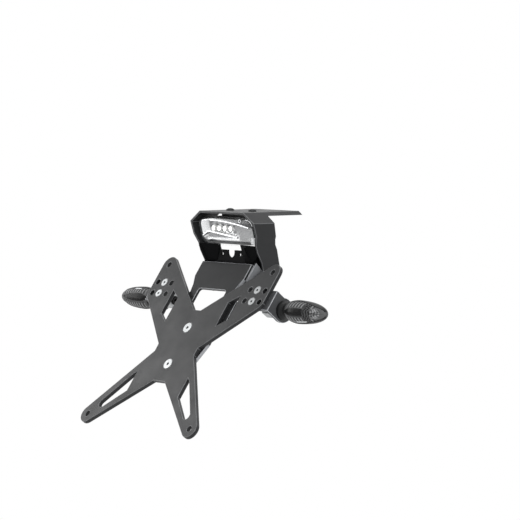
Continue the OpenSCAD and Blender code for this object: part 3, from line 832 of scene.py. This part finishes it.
class TAILTIDY_OT_lamp(bpy.types.Operator):
    """Make the tail lamp's lens, bright insert, trim lines, diodes and housing"""
    bl_idname = "tailtidy.lamp"
    bl_label = "Tail lamp"

    def execute(self, context):
        sizes, finishes = context.scene.tail_tidy_sizes, context.scene.tail_tidy_finishes
        clear = lens_plastic("clear lens", (0.80, 0.82, 0.84), 0.07)
        black = moulded_plastic("lamp housing plastic", finishes.black_plastic)
        insert = bright_insert("bright insert", finishes.insert)
        diode = plated_metal("diode and cup", (0.93, 0.93, 0.90), 0.3)
        board = moulded_plastic("circuit board lacquer", (0.05, 0.16, 0.07), 0.35)

        lens = grid_piece("lamp_lens_cover", lamp_lens_grid(), LAMP_CORE, ring=True)
        thicken(lens, sizes.lens_wall)
        adopt(lens, "lamp_lens", "clear_lens", clear)
        shape, tone = lamp_bowl()
        bowl = grid_piece("lamp_bright_insert", shape, LAMP_CORE, tone=tone)
        thicken(bowl, INSERT_WALL)
        adopt(bowl, "lamp_reflector", "bright_plastic", insert)

        chrome = plated_metal("trim chrome", (0.9, 0.91, 0.92), 0.12)
        # Each line's name, its points, its depth behind the face, its width and its rise
        lines = []
        for name, line, start, stop, width in (("upper", upper_line, -22.0, 32.0, 1.6),
                                               ("shelf", shelf_line, -36.0, 13.5, 1.8)):
            x = np.linspace(start, stop, 81)
            # A mean over nine points rounds the turn of the shelf's line
            z = np.convolve(np.pad(line(x), 4, mode="edge"), np.ones(9) / 9.0, mode="valid")
            lines.append(("lamp_trim_" + name, x, z, 2.6, width, 0.5))
        x, z = lamp_outline(np.radians(np.linspace(8.0, 62.0, 61)), 1.3)
        lines.append(("lamp_trim_corner", x, z, 3.4, 0.8, 0.4))
        turn = np.linspace(0.0, 2.0 * math.pi, 49)
        x, z = SCREW_X + SCREW_HALF[0] * np.cos(turn), SCREW_Z + SCREW_HALF[1] * np.sin(turn)
        lines.append(("lamp_screw_ring", x, z, 2.2, 0.7, 0.35))
        for name, x, z, depth, width, rise in lines:
            strip = grid_piece(name, strip_grid(on_face(x, z, depth), (0, -1, 0), width, rise),
                               LAMP_CORE, ring=True)
            adopt(strip, None, "bright_plastic", chrome)
        frost = lens_plastic("frosted lug", (0.93, 0.94, 0.95), 0.8, 0.3)
        lug = grid_piece("lamp_lens_lug", pebble_grid(LUG_PLACE, LUG_HALF), LUG_PLACE,
                         ring=True)
        adopt(lug, None, "clear_lens", frost)

        repaint("lamp_housing", black)
        repaint("lamp_circuit_board", board)
        for number in range(1, 5):
            repaint(f"lamp_led_{number}", diode)
        return {"FINISHED"}


class TAILTIDY_OT_indicators(bpy.types.Operator):
    """Make the indicators' lenses, painted glint strips, back shells and stalks, and finish
    their reflectors and bulbs"""
    bl_idname = "tailtidy.indicators"
    bl_label = "Indicators"

    def execute(self, context):
        finishes = context.scene.tail_tidy_finishes
        plastic = finishes.black_plastic
        smoke = toned(lens_plastic("smoked lens", finishes.smoke, 0.94, 0.2, 0.08),
                      grey(0.0), grey(0.75))
        black = moulded_plastic("stalk plastic", [c * 0.35 for c in plastic], 0.5, 0.25)
        shell = moulded_plastic("back shell plastic", [c * 0.3 for c in plastic], 0.35, 0.2)
        bright = plated_metal("indicator reflector", (0.90, 0.91, 0.93), 0.2)
        sheen = plated_metal("painted glint strip", (0.60, 0.61, 0.62), 0.25)
        amber = lens_plastic("amber bulb", finishes.amber, 0.9)
        # Side and name, and the painted glint strip's turn round the axis and its two ends
        for side, name, turn, ends in ((-1.0, "left", 1.12, (23.0, 33.0)),
                                       (1.0, "right", -0.95, (25.5, 38.5))):
            # A point on the axis, inside the lens
            core = (side * (FOLD_HALF + 30.0), AXIS_Y, AXIS_Z)
            shape, tone = lens_form(side)
            lens = grid_piece(name + "_ribbed_lens", shape, core, ring=True, tone=tone)
            thicken(lens, INDICATOR_WALL)
            adopt(lens, f"{name}_indicator_lens", "smoked_lens", smoke)
            # The painted glint strip: a bright bead that paints the highlight along the lens'
            # edge
            reach = np.linspace(*ends, 31)
            path = about_axis(reach, lens_radius(reach) * GLINT_SHARE, turn, side)
            outwards = (0.0, -math.cos(turn), math.sin(turn))
            glint_strip = grid_piece(name + "_painted_glint_strip",
                             strip_grid(path, outwards, GLINT_WIDTH, GLINT_RISE), core, ring=True)
            adopt(glint_strip, None, "bright_plastic", sheen)
            back = grid_piece(name + "_back_shell", back_shell_grid(side), core)
            thicken(back, SHELL_WALL)
            adopt(back, None, "black_plastic", shell)
            stalk = grid_piece(name + "_turned_stalk", stalk_grid(side), core, ring=True)
            adopt(stalk, f"{name}_indicator_stalk", "black_plastic", black)
            repaint(f"{name}_indicator_reflector", bright)
            repaint(f"{name}_indicator_bulb", amber)
        return {"FINISHED"}


class TAILTIDY_PT_panel(bpy.types.Panel):
    """Lists the steps that dress the tail tidy"""
    bl_label = "Tail Tidy"
    bl_idname = "TAILTIDY_PT_panel"
    bl_space_type = "VIEW_3D"
    bl_region_type = "UI"
    bl_category = "Tail Tidy"

    def draw(self, context):
        for operator in STEPS:
            self.layout.operator(operator.bl_idname)
        for group in (context.scene.tail_tidy_sizes, context.scene.tail_tidy_finishes):
            for key in group.__annotations__:
                self.layout.prop(group, key)


STEPS = (TAILTIDY_OT_stage, TAILTIDY_OT_sheets, TAILTIDY_OT_fasteners, TAILTIDY_OT_lamp,
         TAILTIDY_OT_indicators)
CLASSES = (TailTidySizes, TailTidyFinishes) + STEPS + (TAILTIDY_PT_panel,)


def register():
    """Adds the classes and hangs the two groups of properties on the scene."""
    for cls in CLASSES:
        bpy.utils.register_class(cls)
    bpy.types.Scene.tail_tidy_sizes = bpy.props.PointerProperty(type=TailTidySizes)
    bpy.types.Scene.tail_tidy_finishes = bpy.props.PointerProperty(type=TailTidyFinishes)


def unregister():
    """Takes the properties and the classes away again."""
    del bpy.types.Scene.tail_tidy_finishes
    del bpy.types.Scene.tail_tidy_sizes
    for cls in reversed(CLASSES):
        bpy.utils.unregister_class(cls)


def main():
    register()
    bpy.ops.tailtidy.stage()
    bpy.ops.tailtidy.sheets()
    bpy.ops.tailtidy.fasteners()
    bpy.ops.tailtidy.lamp()
    bpy.ops.tailtidy.indicators()


if __name__ == "__main__":
    main()
